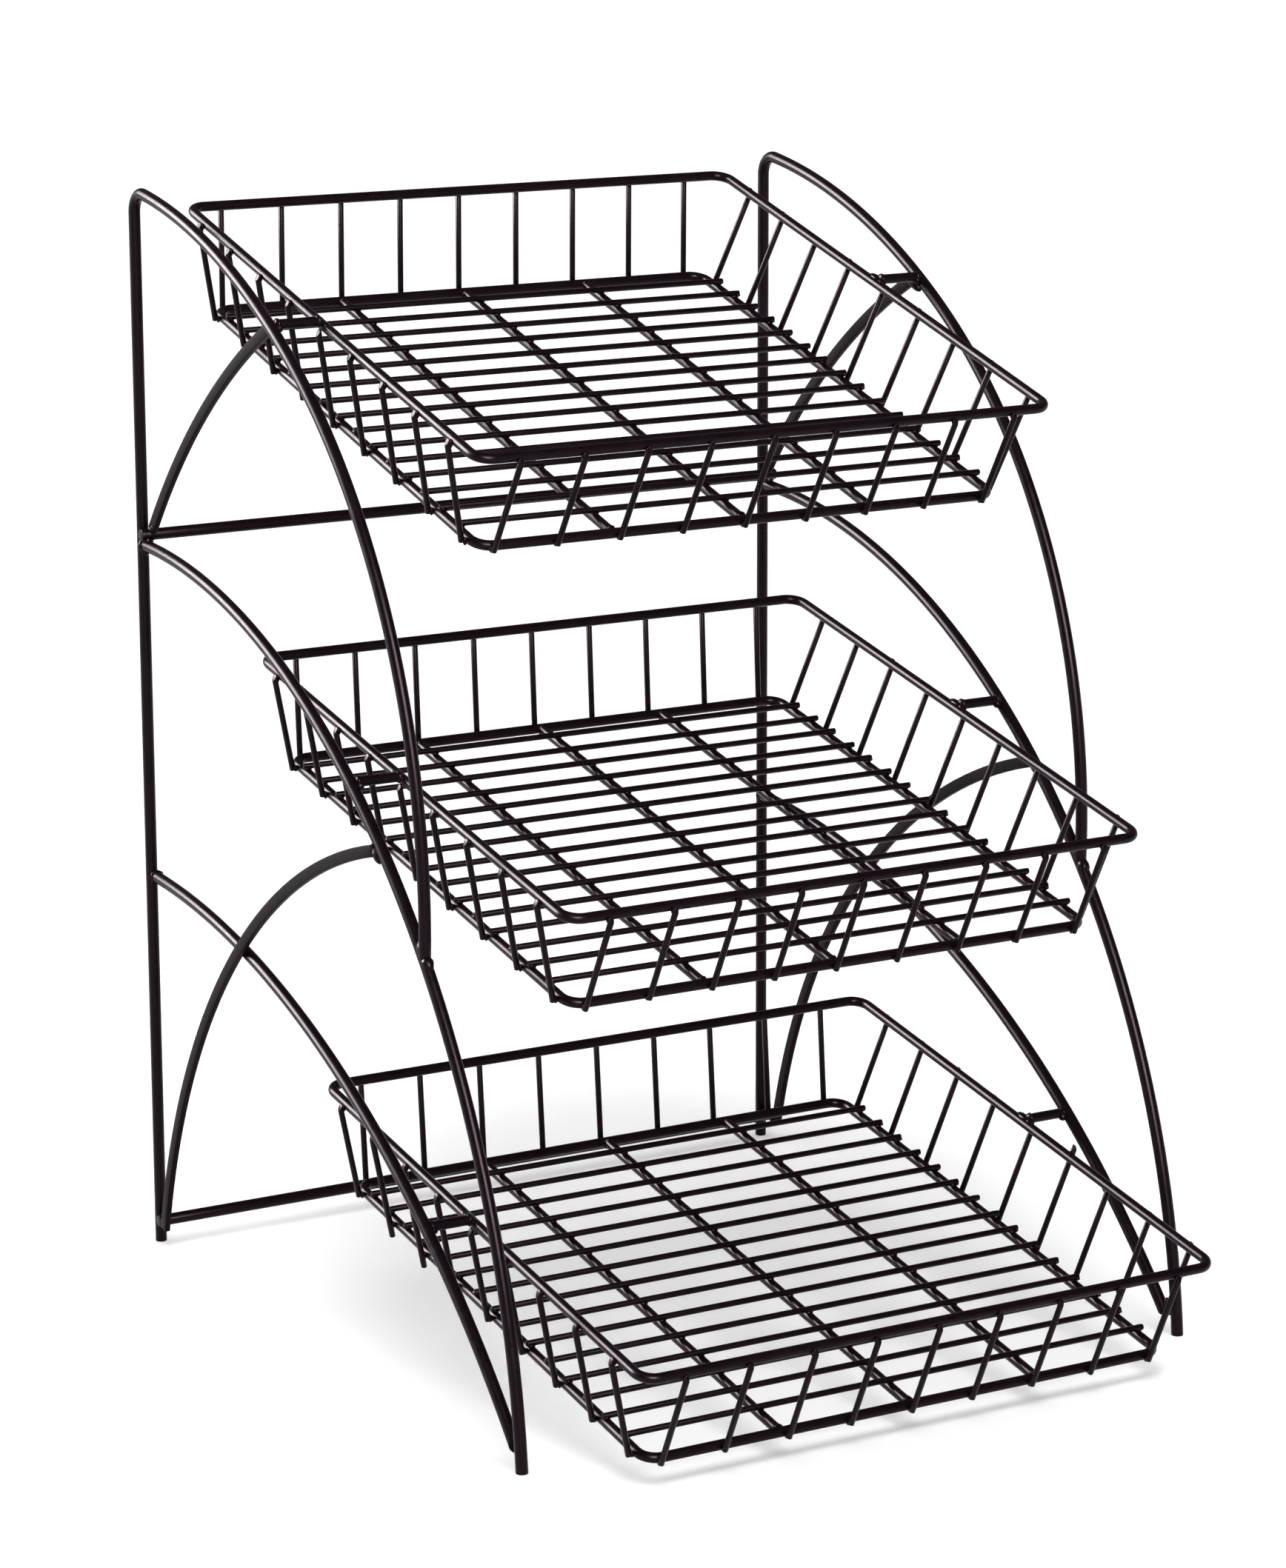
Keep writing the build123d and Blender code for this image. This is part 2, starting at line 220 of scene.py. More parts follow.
class SidePlaces:
    """Centre lines of a side frame, worked out from its sizes, as (y, z) from the upright's foot."""

    def __init__(self, scene):
        stock, side = scene.rack_stock, scene.rack_side
        self.rod = stock.rod / 2
        self.seat = self.rod + stock.seat
        self.cross_y = -stock.rod - stock.seat
        self.upper_cross = (self.cross_y, side.upper_cross)
        self.lower_cross = (self.cross_y, side.lower_cross)
        self.foot = (-side.leg_reach, 0)
        self.leg = circles_meet(self.upper_cross, side.leg_radius + stock.rod + stock.seat, self.foot, side.leg_radius)
        self.leg_root = (0, height_on(self.leg, side.leg_radius, 0))
        self.bend = (-side.bend_radius, side.height - self.rod - side.bend_radius)
        self.rear_bow = on_circle(self.bend, side.bend_radius - side.rear_radius, side.bend_angle)
        self.front_start = side.bend_angle + side.rear_angle
        self.front_bow = on_circle(self.rear_bow, side.rear_radius - side.front_radius, self.front_start)
        self.bow_end = circles_meet(self.leg, side.leg_radius, self.front_bow, side.front_radius)
        self.low_root = (0, side.low_root)
        depth = math.sqrt(side.leg_radius**2 - (side.low_toe - self.leg[1]) ** 2)
        self.low_toe = (self.leg[0] - depth + side.low_setback, side.low_toe)
        self.low_bow = circles_meet(self.low_root, side.low_radius, self.low_toe, side.low_radius)
        self.frame_x = side.spacing / 2
        self.upper_brace_x = self.frame_x - side.upper_inset
        self.lower_brace_x = self.frame_x + side.lower_outset
        self.low_bow_x = self.lower_brace_x - stock.brace_thickness / 2 - self.seat
        brace_y = side.upper_setback - scene.rack_basket.top_reach
        self.upper_brace_top = (brace_y, height_on(self.rear_bow, side.rear_radius, brace_y))
        self.upper_brace, self.upper_brace_radius = bulged_center(self.upper_brace_top, self.upper_cross, side.upper_bulge)
        self.lower_brace_top = (-side.lower_reach, height_on(self.leg, side.leg_radius, -side.lower_reach))
        self.lower_brace_foot = (self.cross_y - self.seat - stock.brace_width / 2, side.lower_cross - self.rod)
        self.lower_brace, self.lower_brace_radius = bulged_center(self.lower_brace_top, self.lower_brace_foot, side.lower_bulge)


class TierPlaces:
    """Where one tier's hangers and basket are."""

    def __init__(self, scene, tier):
        side, basket, places = scene.rack_side, scene.rack_basket, SidePlaces(scene)
        reach = {"top": basket.top_reach, "middle": basket.middle_reach, "bottom": basket.bottom_reach}[tier]
        carrier = {
            "top": (places.rear_bow, side.rear_radius, places.frame_x),
            "middle": (places.leg, side.leg_radius, places.frame_x),
            "bottom": (places.low_bow, side.low_radius, places.low_bow_x),
        }[tier]
        self.tilt = {"top": basket.top_tilt, "middle": basket.middle_tilt, "bottom": basket.bottom_tilt}[tier]
        self.carrier_x = carrier[2]
        lift = basket.bottom_lift if tier == "bottom" else basket.hanger_lift
        self.hanger = (-reach, height_on(carrier[0], carrier[1], -reach) + lift)
        turn = Matrix.Rotation(self.tilt, 3, "X")
        offset = turn @ Vector((0, basket.hanger_setback, basket.hanger_rise))
        self.middle = Vector((0, side.upright_y + self.hanger[0] - offset.y, self.hanger[1] - offset.z))
        self.matrix = Matrix.Translation(self.middle) @ turn.to_4x4()


def side_point(scene, x, place):
    """A side-frame place in the rack's own space."""
    return Vector((x, scene.rack_side.upright_y + place[0], place[1]))


# Modelling


def start_fresh():
    """Leaves edit mode with nothing selected."""
    if bpy.context.object and bpy.context.object.mode != "OBJECT":
        bpy.ops.object.mode_set(mode="OBJECT")
    bpy.ops.object.select_all(action="DESELECT")


def open_mesh(piece):
    """Opens a piece in edit mode with all of it selected."""
    start_fresh()
    piece.select_set(True)
    bpy.context.view_layer.objects.active = piece
    bpy.ops.object.mode_set(mode="EDIT")
    bpy.ops.mesh.select_mode(type="FACE")
    bpy.ops.mesh.select_all(action="SELECT")


def start_rod(name, place, ahead, radius, sides=20):
    """A disc at a place that faces along a direction, open for extruding."""
    start_fresh()
    turn = Vector(ahead).to_track_quat("Z", "Y").to_euler()
    bpy.ops.mesh.primitive_circle_add(
        vertices=sides, radius=radius, fill_type="NGON", location=place, rotation=turn
    )
    rod = bpy.context.object
    rod.name = name
    rod.data.name = name
    bpy.ops.object.transform_apply(location=True, rotation=True, scale=True)
    open_mesh(rod)
    return rod


def go_straight(way):
    """Extrudes the selected end along a way."""
    bpy.ops.mesh.extrude_region_move(TRANSFORM_OT_translate={"value": way})


def go_round(center, turn, steps, axis=ACROSS):
    """Spins the selected end round a centre, counter-clockwise about the axis."""
    bpy.ops.mesh.spin(steps=steps, angle=turn, center=center, axis=-Vector(axis))


def pick_faces(piece, test):
    """Selects the faces of the open piece whose middle and normal pass a test."""
    mesh = bmesh.from_edit_mesh(piece.data)
    for part in (mesh.verts, mesh.edges, mesh.faces):
        for item in part:
            item.select = False
    for face in mesh.faces:
        if test(face.calc_center_median(), face.normal, len(face.verts)):
            face.select_set(True)
    mesh.select_flush_mode()
    bmesh.update_edit_mesh(piece.data)


def round_ends(piece, size, segments=2):
    """Rounds the edges of the open piece's cut ends."""
    pick_faces(piece, lambda middle, normal, sides: sides > 4)
    bpy.ops.mesh.bevel(offset=size, segments=segments, affect="EDGES")


def cut(piece, place, ahead):
    """Cuts the open piece square at a place, and leaves what lies behind the direction."""
    bpy.ops.mesh.select_all(action="SELECT")
    bpy.ops.mesh.bisect(plane_co=place, plane_no=ahead, use_fill=True, clear_outer=True)


def close_mesh(piece, smooth=40):
    """Merges doubles, turns all faces outward, and shades the piece smooth."""
    bpy.ops.mesh.select_all(action="SELECT")
    bpy.ops.mesh.remove_doubles(threshold=0.00001)
    bpy.ops.mesh.normals_make_consistent(inside=False)
    bpy.ops.object.mode_set(mode="OBJECT")
    start_fresh()
    piece.select_set(True)
    bpy.context.view_layer.objects.active = piece
    bpy.ops.object.shade_smooth_by_angle(angle=math.radians(smooth))


def copied(piece, matrix):
    """A copy of a piece with its own mesh, put in place."""
    copy = piece.copy()
    copy.data = piece.data.copy()
    bpy.context.scene.collection.objects.link(copy)
    copy.matrix_world = matrix
    return copy


def joined(name, pieces):
    """Joins pieces into one named object at the origin."""
    bpy.context.view_layer.update()
    start_fresh()
    for piece in pieces:
        piece.select_set(True)
    bpy.context.view_layer.objects.active = pieces[0]
    if len(pieces) > 1:
        bpy.ops.object.join()
    whole = bpy.context.object
    whole.name = name
    whole.data.name = name
    bpy.ops.object.transform_apply(location=True, rotation=True, scale=True)
    return whole


def drop_piece(piece):
    """Removes a pattern piece once its copies are made."""
    bpy.data.objects.remove(piece, do_unlink=True)


def hand_over(piece, material, node=None):
    """Gives a finished piece its coat, and lets it ride on the rack in place of a node."""
    piece.data.materials.clear()
    piece.data.materials.append(material)
    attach(piece, "root")
    if node:
        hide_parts(node)


# Coats


def coat_material(name, dark, light, shine, roughness, grain, lumps, tint):
    """A lacquer coat with faint clouding, an uneven shine and a fine orange-peel skin."""
    material = bpy.data.materials.get(name)
    if material:
        return material
    material = bpy.data.materials.new(name)
    material.use_nodes = True
    nodes, links = material.node_tree.nodes, material.node_tree.links
    shader = nodes["Principled BSDF"]
    shader.inputs["Specular IOR Level"].default_value = shine
    shader.inputs["Specular Tint"].default_value = (*tint, 1)
    place = nodes.new("ShaderNodeTexCoord")

    def noise(scale, detail, factor=0.5):
        texture = nodes.new("ShaderNodeTexNoise")
        texture.inputs["Scale"].default_value = scale
        texture.inputs["Detail"].default_value = detail
        texture.inputs["Roughness"].default_value = factor
        links.new(place.outputs["Object"], texture.inputs["Vector"])
        return texture.outputs["Fac"]

    def ramp(source, low, high, first, last):
        spread = nodes.new("ShaderNodeMapRange")
        spread.inputs["From Min"].default_value = low
        spread.inputs["From Max"].default_value = high
        spread.inputs["To Min"].default_value = first
        spread.inputs["To Max"].default_value = last
        links.new(source, spread.inputs["Value"])
        return spread.outputs["Result"]

    clouds = noise(55, 4)
    blend = nodes.new("ShaderNodeMix")
    blend.data_type = "RGBA"
    blend.inputs["A"].default_value = (*dark, 1)
    blend.inputs["B"].default_value = (*light, 1)
    links.new(ramp(clouds, 0.35, 0.68, 0, 1), blend.inputs["Factor"])
    links.new(blend.outputs["Result"], shader.inputs["Base Color"])
    links.new(ramp(noise(190, 3), 0.3, 0.7, roughness - 0.03, roughness + 0.04), shader.inputs["Roughness"])
    skin = nodes.new("ShaderNodeBump")
    skin.inputs["Strength"].default_value = 0.05
    skin.inputs["Distance"].default_value = grain
    links.new(noise(1400, 2), skin.inputs["Height"])
    swell = nodes.new("ShaderNodeBump")
    swell.inputs["Strength"].default_value = 0.12
    swell.inputs["Distance"].default_value = lumps
    links.new(noise(260, 2), swell.inputs["Height"])
    links.new(skin.outputs["Normal"], swell.inputs["Normal"])
    links.new(swell.outputs["Normal"], shader.inputs["Normal"])
    return material


def rod_coat(scene):
    """Semi-gloss coat of the rods and rings."""
    finish = scene.rack_finish
    return coat_material("black_rod_coat", finish.coat, finish.coat_light, 0.10, 0.30, 0.00004, 0.00008, finish.sheen_tint)


def wire_coat(scene):
    """Coat of the thin wires, a little duller."""
    finish = scene.rack_finish
    return coat_material("black_wire_coat", finish.coat, finish.coat_light, 0.10, 0.31, 0.00004, 0.00006, finish.sheen_tint)


def bar_coat(scene):
    """Duller coat of the flat braces."""
    finish = scene.rack_finish
    return coat_material("dull_bar_coat", finish.bar, finish.coat_light, 0.045, 0.42, 0.00006, 0.00010, finish.sheen_tint)


def weld_coat(scene):
    """Coat over the weld beads, with the beads' small ripples."""
    finish = scene.rack_finish
    return coat_material("coated_weld", finish.coat, finish.coat_light, 0.10, 0.28, 0.00006, 0.00020, finish.sheen_tint)


# Pieces


class RACK_OT_add_uprights(bpy.types.Operator):
    """Adds the two uprights, each bent forward at its top into the long bow"""

    bl_idname = "rack.add_uprights"
    bl_label = "Uprights and top bows"

    def execute(self, context):
        scene = context.scene
        side, places = scene.rack_side, SidePlaces(scene)
        end_turn = angle_of(places.front_bow, places.bow_end) - places.front_start
        for word, sign in SIDES:
            x = sign * places.frame_x
            name = f"{word}_upright_and_bow"
            rod = start_rod(name + "_rod", side_point(scene, x, (0, 0)), (0, 0, 1), places.rod)
            go_straight((0, 0, places.bend[1]))
            go_round(side_point(scene, x, places.bend), side.bend_angle, 14)
            go_round(side_point(scene, x, places.rear_bow), side.rear_angle, 24)
            go_round(side_point(scene, x, places.front_bow), end_turn - places.rod / 2 / side.front_radius, 36)
            round_ends(rod, scene.rack_stock.cut)
            close_mesh(rod)
            hand_over(rod, rod_coat(scene), name)
        return {"FINISHED"}


class RACK_OT_add_legs(bpy.types.Operator):
    """Adds the two bowed front legs, from the uprights to the floor"""

    bl_idname = "rack.add_legs"
    bl_label = "Front legs"

    def execute(self, context):
        scene = context.scene
        side, places = scene.rack_side, SidePlaces(scene)
        start = angle_of(places.leg, places.leg_root)
        turn = angle_of(places.leg, places.foot) + places.rod / side.leg_radius - start
        ahead = (0, -math.sin(start), math.cos(start))
        for word, sign in SIDES:
            x = sign * places.frame_x
            name = f"{word}_front_leg"
            rod = start_rod(name + "_rod", side_point(scene, x, places.leg_root), ahead, places.rod)
            go_round(side_point(scene, x, places.leg), turn, 56)
            cut(rod, side_point(scene, x, (-places.rod + 0.001, 0)), (0, 1, 0))
            cut(rod, Vector(), (0, 0, -1))
            close_mesh(rod)
            hand_over(rod, rod_coat(scene), name)
        return {"FINISHED"}


class RACK_OT_add_low_bows(bpy.types.Operator):
    """Adds the two low bows, from the uprights to the back of the front legs"""

    bl_idname = "rack.add_low_bows"
    bl_label = "Low bows"

    def execute(self, context):
        scene = context.scene
        side, places = scene.rack_side, SidePlaces(scene)
        start = angle_of(places.low_bow, places.low_root)
        turn = angle_of(places.low_bow, places.low_toe) + (places.rod + 0.003) / side.low_radius - start
        ahead = (0, -math.sin(start), math.cos(start))
        for word, sign in SIDES:
            x = sign * places.low_bow_x
            name = f"{word}_low_bow"
            rod = start_rod(name + "_rod", side_point(scene, x, places.low_root), ahead, places.rod)
            go_round(side_point(scene, x, places.low_bow), turn, 48)
            cut(rod, side_point(scene, x, (-places.rod + 0.001, 0)), (0, 1, 0))
            if sign < 0:
                cut(rod, side_point(scene, x, places.low_toe) + Vector((0, 0.0006, 0.0010)), (-0.39, -0.89, -0.23))
                cut(rod, Vector((0, 0, side.low_toe - side.toe_slip)), (0, 0, -1))
            else:
                cut(rod, Vector((0, 0, side.low_toe)), (0, 0, -1))
            close_mesh(rod)
            hand_over(rod, rod_coat(scene), name)
        return {"FINISHED"}


class RACK_OT_add_braces(bpy.types.Operator):
    """Adds the four bowed flat braces with their softened edges"""

    bl_idname = "rack.add_braces"
    bl_label = "Braces"

    def execute(self, context):
        scene = context.scene
        places = SidePlaces(scene)
        kinds = (
            ("upper", places.upper_brace_x, places.upper_brace, places.upper_brace_radius, places.upper_brace_top, places.upper_cross, 0.0028, 0.0028),
            ("lower", places.lower_brace_x, places.lower_brace, places.lower_brace_radius, places.lower_brace_top, places.lower_brace_foot, 0.0028, 0),
        )
        for kind, brace_x, center, radius, top, bottom, top_gap, bottom_gap in kinds:
            start = angle_of(center, bottom) + bottom_gap / radius
            turn = angle_of(center, top) - top_gap / radius - start
            for word, sign in SIDES:
                self.add_brace(scene, f"{word}_{kind}_brace", sign * brace_x, center, radius, start, turn)
        return {"FINISHED"}

    def add_brace(self, scene, name, x, center, radius, start, turn):
        stock = scene.rack_stock
        start_fresh()
        place = side_point(scene, x, on_circle(center, radius, start))
        bpy.ops.mesh.primitive_plane_add(size=1, location=place, rotation=(start, 0, 0))
        bar = bpy.context.object
        bar.name = bar.data.name = name + "_bar"
        bar.scale = (stock.brace_thickness, stock.brace_width, 1)
        bpy.ops.object.transform_apply(location=True, rotation=True, scale=True)
        open_mesh(bar)
        go_round(side_point(scene, x, center), turn, 40)
        bpy.ops.mesh.select_all(action="SELECT")
        bpy.ops.mesh.normals_make_consistent(inside=False)
        mesh = bmesh.from_edit_mesh(bar.data)
        for edge in mesh.edges:
            edge.select = edge.calc_face_angle(0) > math.radians(60)
        bmesh.update_edit_mesh(bar.data)
        bpy.ops.mesh.bevel(offset=stock.brace_thickness * 0.2, segments=3, affect="EDGES")
        close_mesh(bar, 35)
        hand_over(bar, bar_coat(scene), name)


class RACK_OT_add_cross_rods(bpy.types.Operator):
    """Adds the two rods that hold the side frames apart at the back"""

    bl_idname = "rack.add_cross_rods"
    bl_label = "Cross rods"

    def execute(self, context):
        scene = context.scene
        places = SidePlaces(scene)
        reach = places.frame_x + scene.rack_side.overhang
        for name, place in (("upper_cross_rod", places.upper_cross), ("lower_cross_rod", places.lower_cross)):
            rod = start_rod(name + "_rod", side_point(scene, -reach, place), (1, 0, 0), places.rod)
            for _ in range(6):
                go_straight((reach / 3, 0, 0))
            round_ends(rod, scene.rack_stock.cut)
            close_mesh(rod)
            hand_over(rod, rod_coat(scene), name)
        return {"FINISHED"}


class RACK_OT_add_hangers(bpy.types.Operator):
    """Adds the six short rods that carry the baskets"""

    bl_idname = "rack.add_hangers"
    bl_label = "Hangers"

    def execute(self, context):
        scene = context.scene
        stock, places = scene.rack_stock, SidePlaces(scene)
        start = scene.rack_basket.rim_width / 2 + stock.ring / 2 + stock.seat
        for tier in TIERS:
            tier_places = TierPlaces(scene, tier)
            run = tier_places.carrier_x - places.seat - start
            for word, sign in SIDES:
                name = f"{tier}_{word}_hanger"
                place = side_point(scene, sign * start, tier_places.hanger)
                rod = start_rod(name + "_rod", place, (sign, 0, 0), stock.hanger / 2, 16)
                for _ in range(3):
                    go_straight((sign * run / 3, 0, 0))
                close_mesh(rod)
                hand_over(rod, rod_coat(scene), name)
        return {"FINISHED"}


class RACK_OT_add_rings(bpy.types.Operator):
    """Adds the rims and base rings of the baskets, one of each modelled and copied"""

    bl_idname = "rack.add_rings"
    bl_label = "Rims and base rings"

    def execute(self, context):
        scene = context.scene
        basket = scene.rack_basket
        kinds = (
            ("rim", basket.rim_width, basket.rim_depth, basket.rim_corner, 0),
            ("base_ring", basket.base_width, basket.base_depth, basket.base_corner, basket.drop),
        )
        for kind, width, depth, corner, drop in kinds:
            pattern = self.ring(scene, width, depth, corner, -drop)
            for tier in TIERS:
                ring = joined(f"{tier}_{kind}_rod", [copied(pattern, TierPlaces(scene, tier).matrix)])
                hand_over(ring, rod_coat(scene), f"{tier}_{kind}")
            drop_piece(pattern)
        return {"FINISHED"}

    def ring(self, scene, width, depth, corner, up):
        """A closed ring of round rod with rounded corners."""
        ring = start_rod("ring_pattern", (0, -depth / 2, up), (1, 0, 0), scene.rack_stock.ring / 2, 16)
        x, y = width / 2 - corner, depth / 2 - corner
        runs = ((x, 0), (0, 2 * y), (-2 * x, 0), (0, -2 * y), (x, 0))
        corners = ((x, -y), (x, y), (-x, y), (-x, -y))
        for number, run in enumerate(runs):
            go_straight((*run, 0))
            if number < 4:
                go_round((*corners[number], up), math.pi / 2, 9, (0, 0, 1))
        pick_faces(ring, lambda middle, normal, sides: sides > 4)
        bpy.ops.mesh.delete(type="ONLY_FACE")
        close_mesh(ring)
        return ring


class RACK_OT_add_runners(bpy.types.Operator):
    """Adds the floor runners of the baskets"""

    bl_idname = "rack.add_runners"
    bl_label = "Floor runners"

    def execute(self, context):
        scene = context.scene
        stock, basket = scene.rack_stock, scene.rack_basket
        run = basket.base_depth - stock.ring - 2 * stock.seat
        pattern = start_rod("runner_pattern", (0, -run / 2, -basket.drop), (0, 1, 0), stock.ring / 2, 16)
        for _ in range(4):
            go_straight((0, run / 4, 0))
        close_mesh(pattern)
        pitch = basket.base_width / (basket.runners + 1)
        for tier in TIERS:
            tier_matrix = TierPlaces(scene, tier).matrix
            rods = []
            for number in range(basket.runners):
                x = (number - (basket.runners - 1) / 2) * pitch
                rods.append(copied(pattern, tier_matrix @ Matrix.Translation((x, 0, 0))))
            runners = joined(f"{tier}_runner_rods", rods)
            hand_over(runners, rod_coat(scene), f"{tier}_floor_runners")
        drop_piece(pattern)
        return {"FINISHED"}


def wire_pattern(scene, run, slant=0):
    """One thin wire standing on the origin, its upper end cut at a slant on its outer side."""
    stock = scene.rack_stock
    wire = start_rod("wire_pattern", (0, 0, 0), (0, 0, 1), stock.wire / 2, 12)
    go_straight((0, 0, run))
    if slant:
        cut(wire, (0, 0, run - stock.wire / 3), (0, -math.sin(slant), math.cos(slant)))
    round_ends(wire, stock.wire_cut, 2)
    close_mesh(wire, 60)
    return wire


def wire_seat(scene):
    """From a ring's centre line to that of a wire on it."""
    stock = scene.rack_stock
    return (stock.ring + stock.wire) / 2 + stock.seat


class RACK_OT_add_floor_wires(bpy.types.Operator):
    """Adds the thin wires of the basket floors, each a hair off its place"""

    bl_idname = "rack.add_floor_wires"
    bl_label = "Floor wires"

    def execute(self, context):
        scene = context.scene
        stock, basket = scene.rack_stock, scene.rack_basket
        chance = random.Random(11)
        run = basket.base_width + stock.ring
        pattern = wire_pattern(scene, run)
        up = wire_seat(scene) - basket.drop
        pitch = basket.base_depth / (basket.floor_wires + 1)
        for tier in TIERS:
            tier_matrix = TierPlaces(scene, tier).matrix
            wires = []
            for number in range(basket.floor_wires):
                y = (number - (basket.floor_wires - 1) / 2) * pitch + chance.uniform(-1, 1) * basket.unevenness
                x = -run / 2 + chance.uniform(-1, 1) * basket.unevenness
                turn = Matrix.Rotation(math.pi / 2, 4, "Y") @ Matrix.Rotation(chance.uniform(-1, 1) * basket.unevenness * 4, 4, "X")
                wires.append(copied(pattern, tier_matrix @ Matrix.Translation((x, y, up)) @ turn))
            whole = joined(f"{tier}_floor_wire_grid", wires)
            hand_over(whole, wire_coat(scene), f"{tier}_floor_wires")
        drop_piece(pattern)
        return {"FINISHED"}


class Wall:
    """Places of one wall's wires in its basket."""

    def __init__(self, scene, word):
        basket, self.word = scene.rack_basket, word
        self.out = {"left": (-1, 0), "right": (1, 0), "front": (0, -1), "rear": (0, 1)}[word]
        width = word in ("left", "right")
        self.rim = (basket.rim_width if width else basket.rim_depth) / 2
        self.base = (basket.base_width if width else basket.base_depth) / 2
        self.slope = math.atan2(self.rim - self.base, basket.drop)
        slip = 0 if width else basket.end_slip
        self.places = [slip + (number - (basket.wall_wires - 1) / 2) * basket.wall_pitch for number in range(basket.wall_wires)]
        under = (scene.rack_stock.hanger + scene.rack_stock.wire) / 2
        self.under_hanger = [width and abs(place - basket.hanger_setback) < under for place in self.places]

    def point(self, place, out, up):
        """A point of the wall at a place along it, outward and up."""
        return Vector((self.out[0] * out + abs(self.out[1]) * place, self.out[1] * out + abs(self.out[0]) * place, up))

    def rising(self):
        """The direction up a wire."""
        return Vector((self.out[0] * math.sin(self.slope), self.out[1] * math.sin(self.slope), math.cos(self.slope)))


class RACK_OT_add_wall_wires(bpy.types.Operator):
    """Adds the thin wires of the basket walls, each a hair off its place"""

    bl_idname = "rack.add_wall_wires"
    bl_label = "Wall wires"

    def execute(self, context):
        scene = context.scene
        stock, basket = scene.rack_stock, scene.rack_basket
        chance = random.Random(23)
        seat = wire_seat(scene)
        below = basket.wire_bottom
        for word in ("left", "right", "front", "rear"):
            wall = Wall(scene, word)
            above = basket.wire_top + {"front": 0, "rear": -basket.rear_drop}.get(word, basket.side_rise)
            run = math.hypot(wall.rim - wall.base, basket.drop) + below + above
            pattern = wire_pattern(scene, run, stock.wire_slant)
            out = wall.base + seat * math.cos(wall.slope) - below * math.sin(wall.slope)
            up = -seat * math.sin(wall.slope) - below * math.cos(wall.slope) - basket.drop
            turn = wall.rising().to_track_quat("Z", "Y").to_matrix().to_4x4()
            for tier in TIERS:
                tier_matrix = TierPlaces(scene, tier).matrix
                wires = []
                for number, (place, short) in enumerate(zip(wall.places, wall.under_hanger)):
                    slip = chance.uniform(-1, 1) * basket.unevenness
                    drop = chance.uniform(-1, 1) * basket.unevenness
                    if tier == "bottom" and word == "left" and number in (6, 7):
                        drop -= basket.long_wire
                    start = wall.point(place + slip, out, up) + wall.rising() * drop
                    end = run - min(drop, 0)
                    if tier == "bottom" and word == "right" and number == 3:
                        end += basket.tall_wire
                    if short:
                        under = basket.hanger_rise - stock.hanger / 2 - stock.seat - stock.wire / 2 * math.sin(wall.slope)
                        end = (under - start.z) / math.cos(wall.slope)
                    size = Matrix.Diagonal((1, 1, end / run, 1))
                    wires.append(copied(pattern, tier_matrix @ Matrix.Translation(start) @ turn @ size))
                whole = joined(f"{tier}_{word}_wall_grid", wires)
                hand_over(whole, wire_coat(scene), f"{tier}_{word}_wall_wires")
            drop_piece(pattern)
        return {"FINISHED"}


def spot_pattern(scene):
    """One small weld bead, flattened between two crossing wires."""
    start_fresh()
    size = scene.rack_welds.spot
    bpy.ops.mesh.primitive_uv_sphere_add(segments=8, ring_count=5, radius=size, location=(0, 0, 0))
    spot = bpy.context.object
    spot.name = "spot_pattern"
    open_mesh(spot)
    bpy.ops.transform.resize(value=(1, 0.85, 0.6))
    pick_faces(spot, lambda middle, normal, sides: normal.z > 0.5)
    bpy.ops.transform.resize(value=(1.25, 0.7, 1), center_override=(0, 0, 0))
    close_mesh(spot, 80)
    return spot


class RACK_OT_add_spot_welds(bpy.types.Operator):
    """Adds the small beads where the wires cross the rings and runners"""

    bl_idname = "rack.add_spot_welds"
    bl_label = "Spot welds"

    def execute(self, context):
        scene = context.scene
        stock, basket = scene.rack_stock, scene.rack_basket
        chance = random.Random(5)
        pattern = spot_pattern(scene)
        ring = stock.ring / 2
        floor_pitch = basket.base_depth / (basket.floor_wires + 1)
        runner_pitch = basket.base_width / (basket.runners + 1)
        lines = [(number - (basket.runners - 1) / 2) * runner_pitch for number in range(basket.runners)]
        lines += [-basket.base_width / 2, basket.base_width / 2]
        for tier in TIERS:
            tier_matrix = TierPlaces(scene, tier).matrix
            spots = []

            def add_spot(place, along, outward, scale=1.0):
                aside = along.cross(outward)
                turn = Matrix((along, -aside, outward)).transposed().to_4x4()
                size = Matrix.Diagonal((chance.uniform(0.9, 1.15), chance.uniform(0.85, 1.15), chance.uniform(0.85, 1.15), 1)) * scale
                size[3][3] = 1
                spots.append(copied(pattern, tier_matrix @ Matrix.Translation(place) @ turn @ size))

            for number in range(basket.floor_wires):
                y = (number - (basket.floor_wires - 1) / 2) * floor_pitch
                for x in lines:
                    add_spot(Vector((x, y, ring - basket.drop)), Vector((1, 0, 0)), Vector((0, 0, 1)))
                for sign in (-1, 1):
                    end = Vector((sign * (basket.base_width / 2 + 0.0012), y, ring + stock.wire * 0.35 - basket.drop))
                    add_spot(end, Vector((0, sign, 0)), Vector((0, 0, 1)), 1.12)
            for word in ("left", "right", "front", "rear"):
                wall = Wall(scene, word)
                outward = Vector((wall.out[0] * math.cos(wall.slope), wall.out[1] * math.cos(wall.slope), -math.sin(wall.slope)))
                for place, short in zip(wall.places, wall.under_hanger):
                    add_spot(wall.point(place, wall.base, -basket.drop) + outward * ring, wall.rising(), outward)
                    if not short:
                        add_spot(wall.point(place, wall.rim, -0.0008) + outward * ring, wall.rising(), outward)
            whole = joined(f"{tier}_basket_spot_welds", spots)
            hand_over(whole, weld_coat(scene))
        drop_piece(pattern)
        return {"FINISHED"}


